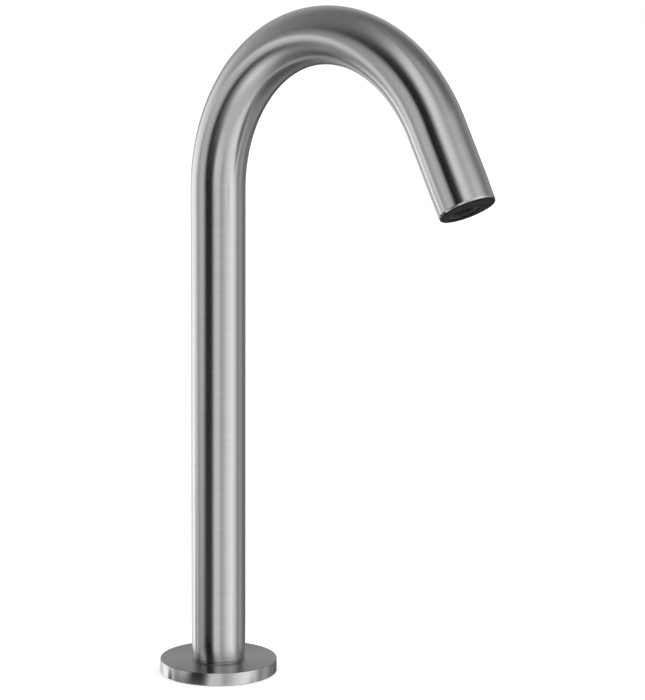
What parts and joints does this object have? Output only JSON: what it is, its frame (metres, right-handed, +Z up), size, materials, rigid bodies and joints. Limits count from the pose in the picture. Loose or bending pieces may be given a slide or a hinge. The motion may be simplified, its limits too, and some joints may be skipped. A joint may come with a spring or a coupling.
{
  "type": "sensor tap",
  "caption": "Tall deck-mounted sensor tap: bent brushed-steel tube spout, black outlet insert with sensor window and aerator, round base flange, under-deck clamp.",
  "frame": {"origin": "on the column's axis at the deck's surface, under the middle of the base flange", "axes": "+Z up along the column, +X the way the spout reaches, +Y completes the frame"},
  "size_m": [0.1885, 0.054, 0.3747],
  "materials": {
    "brushed_stainless": "brushed",
    "brass": "machined",
    "zinc_steel": "satin",
    "black_rubber": "matte",
    "hose_plastic": "satin",
    "lead_jacket": "matte",
    "black_insert": "gloss",
    "red_window": "gloss",
    "board_green": "satin",
    "led_resin": "gloss",
    "aerator_rim": "gloss",
    "aerator_plastic": "matte"
  },
  "bodies": {
    "tap_body": {"spout_tube": "brushed_stainless", "base_flange": "brushed_stainless", "base_body": "brass", "threaded_shank": "brass", "inlet_body": "brass", "foot_grub_screw": "zinc_steel", "outlet_grub_screw": "zinc_steel", "lower_ferrule": "zinc_steel", "upper_ferrule": "zinc_steel", "flange_seal": "black_rubber", "foot_oring": "black_rubber", "housing_oring": "black_rubber", "inlet_washer": "black_rubber", "lead_gland": "black_rubber", "lead_grommet": "black_rubber", "water_hose": "hose_plastic", "lead_clips": "hose_plastic", "sensor_lead": "lead_jacket", "outlet_housing": "black_insert", "sensor_window": "red_window", "sensor_board": "board_green", "ir_emitter": "led_resin", "ir_receiver": "led_resin"},
    "under_deck_clamp": {"deck_gasket": "black_rubber", "clamp_washer": "zinc_steel"},
    "clamp_nut": {"mounting_nut": "brass"},
    "aerator_seat": {"aerator_washer": "black_rubber"},
    "aerator_cartridge": {"aerator_housing": "aerator_rim", "aerator_screen": "aerator_plastic", "flow_regulator": "aerator_plastic"}
  },
  "joints": [
    {"name": "clamp_travel", "type": "slide", "parent": "tap_body", "child": "under_deck_clamp", "axis": [0, 0, 1], "range_m": [-0.025, 0.01]},
    {"name": "nut_turn", "type": "hinge", "parent": "under_deck_clamp", "child": "clamp_nut", "pos_m": [0, 0, -0.0251], "axis": [0, 0, 1], "range_deg": [-6000, 2400]},
    {"name": "aerator_travel", "type": "slide", "parent": "tap_body", "child": "aerator_seat", "axis": [0.4848, 0, -0.8746], "range_m": [0, 0.0085]},
    {"name": "aerator_turn", "type": "hinge", "parent": "aerator_seat", "child": "aerator_cartridge", "pos_m": [0.14876, 0, 0.2248], "axis": [0.4848, 0, -0.8746], "range_deg": [0, 3060]}
  ],
  "couplings": [
    {"joint": "nut_turn", "follows": "clamp_travel", "rad_per_m": 4188.8},
    {"joint": "aerator_turn", "follows": "aerator_travel", "rad_per_m": 6283.2}
  ]
}
